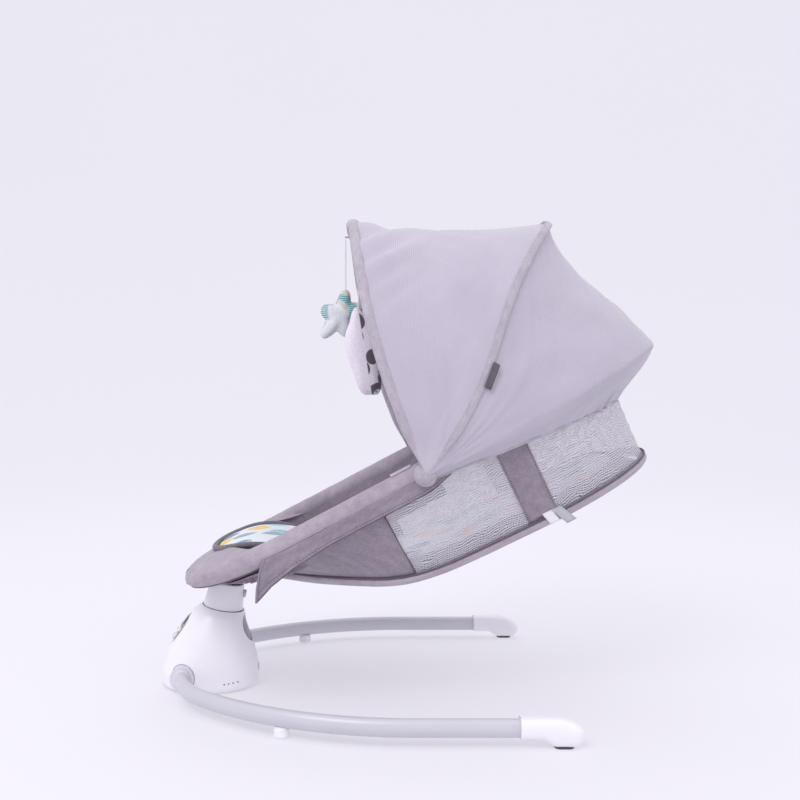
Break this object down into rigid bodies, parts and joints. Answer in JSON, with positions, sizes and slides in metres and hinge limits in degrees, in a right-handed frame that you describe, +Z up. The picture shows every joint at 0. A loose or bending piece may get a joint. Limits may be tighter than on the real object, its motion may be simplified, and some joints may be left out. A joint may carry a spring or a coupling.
{
  "type": "baby swing",
  "caption": "Reclining bassinet baby swing on a powered pedestal tower with two curved floor legs, a folding hooped net canopy and hanging toys.",
  "frame": {"origin": "on the floor, under the middle of the whole swing's bounding box", "axes": "+X from the foot end (tower) to the head end, +Y to the right-hand leg of a baby lying in the seat, +Z up"},
  "size_m": [0.7534, 0.5598, 0.7212],
  "materials": {
    "shell": "gloss white",
    "dark": "satin dark grey",
    "screen": "gloss black",
    "steel": "zinc plated",
    "tube": "satin silver-grey enamel",
    "grey_plastic": "light grey",
    "white_plastic": "white",
    "rubber": "soft grey rubber",
    "copper": "enamelled copper winding",
    "board": "green laminate",
    "battery": "plain wrapped cells",
    "heather": "heather grey weave",
    "mesh": "white open mesh",
    "net": "light grey net",
    "print": "white cotton with leaf print",
    "webbing": "grey webbing",
    "red": "red",
    "plush": "white plush",
    "wire": "grey coated spring wire"
  },
  "bodies": {
    "base": {"front_housing": "shell", "rear_housing": "shell", "base_plate": "white_plastic", "battery_cover": "grey_plastic", "control_panel": "dark", "rear_panel": "dark", "display_lens": "screen", "bearing_frame": "dark", "upper_bearing": "steel", "lower_bearing": "steel", "drive_coil": "copper", "circuit_board": "board", "speaker": "dark", "battery_tray": "dark", "battery_cells": "battery", "power_jack": "dark", "leg_sockets": "grey_plastic", "leg_tube_left": "tube", "leg_tube_right": "tube", "support_pegs": "white_plastic", "foot_cap_left": "white_plastic", "foot_cap_right": "white_plastic", "foot_pads": "rubber", "tower_pads": "rubber", "housing_screws": "steel"},
    "swing_head": {"neck_shell": "shell", "swing_shaft": "steel", "magnet_arm": "dark", "drive_magnet": "steel", "seat_yoke": "dark", "recline_pin": "steel"},
    "recline_button": {"recline_button": "grey_plastic"},
    "seat": {"seat_bracket": "dark", "rim_tube": "steel", "rim_sleeve": "heather", "bottom_frame": "heather", "seat_sling": "heather", "side_mesh": "mesh", "bottom_board": "dark", "wall_straps": "heather", "liner_pad": "print", "harness_straps": "webbing", "harness_buckle": "grey_plastic", "canopy_brackets": "dark", "rear_hoop": "wire", "rear_net": "net"},
    "buckle_button": {"buckle_button": "red"},
    "canopy_middle": {"mid_hoop": "wire", "front_net": "net"},
    "canopy_front": {"front_hoop": "wire"},
    "star_toy": {"star_toy": "plush"},
    "cloud_toy": {"cloud_toy": "plush"},
    "power_button": {"power_button": "white_plastic"},
    "timer_button": {"timer_button": "white_plastic"},
    "music_button": {"music_button": "white_plastic"},
    "slower_button": {"slower_button": "white_plastic"},
    "faster_button": {"faster_button": "white_plastic"}
  },
  "joints": [
    {"name": "swing", "type": "hinge", "parent": "base", "child": "swing_head", "pos_m": [-0.28619, 0, 0.1184], "axis": [0.1736, 0, 0.9848], "range_deg": [-15, 15]},
    {"name": "recline", "type": "hinge", "parent": "swing_head", "child": "seat", "pos_m": [-0.27872, 0, 0.16075], "axis": [0, -1, 0], "range_deg": [0, 12]},
    {"name": "recline_release", "type": "slide", "parent": "swing_head", "child": "recline_button", "axis": [-0.9848, 0, 0.1736], "range_m": [0, 0.003], "stiffness_N_per_m": 800},
    {"name": "canopy_fold", "type": "hinge", "parent": "seat", "child": "canopy_middle", "pos_m": [0.02071, 0, 0.34533], "axis": [0, -1, 0], "range_deg": [-20, 26], "deforming": ["rear_net"]},
    {"name": "canopy_front_fold", "type": "hinge", "parent": "canopy_middle", "child": "canopy_front", "pos_m": [0.02071, 0, 0.34533], "axis": [0, -1, 0], "range_deg": [-26, 33], "deforming": ["front_net"]},
    {"name": "star_swing", "type": "hinge", "parent": "canopy_front", "child": "star_toy", "pos_m": [-0.09413, 0.05408, 0.70841], "axis": [0, -1, 0], "range_deg": [-30, 30]},
    {"name": "cloud_swing", "type": "hinge", "parent": "canopy_front", "child": "cloud_toy", "pos_m": [-0.07213, -0.05408, 0.70841], "axis": [0, -1, 0], "range_deg": [-30, 30]},
    {"name": "harness_release", "type": "slide", "parent": "seat", "child": "buckle_button", "axis": [-0.0104, 0, -0.9999], "range_m": [0, 0.002], "stiffness_N_per_m": 800},
    {"name": "power_press", "type": "slide", "parent": "base", "child": "power_button", "axis": [0.809, 0, -0.5878], "range_m": [0, 0.0012], "stiffness_N_per_m": 600},
    {"name": "timer_press", "type": "slide", "parent": "base", "child": "timer_button", "axis": [0.809, 0, -0.5878], "range_m": [0, 0.0012], "stiffness_N_per_m": 600},
    {"name": "music_press", "type": "slide", "parent": "base", "child": "music_button", "axis": [0.809, 0, -0.5878], "range_m": [0, 0.0012], "stiffness_N_per_m": 600},
    {"name": "slower_press", "type": "slide", "parent": "base", "child": "slower_button", "axis": [0.809, 0, -0.5878], "range_m": [0, 0.0012], "stiffness_N_per_m": 600},
    {"name": "faster_press", "type": "slide", "parent": "base", "child": "faster_button", "axis": [0.809, 0, -0.5878], "range_m": [0, 0.0012], "stiffness_N_per_m": 600}
  ],
  "couplings": [
    {"joint": "canopy_front_fold", "follows": "canopy_fold", "ratio": 1.2565}
  ]
}
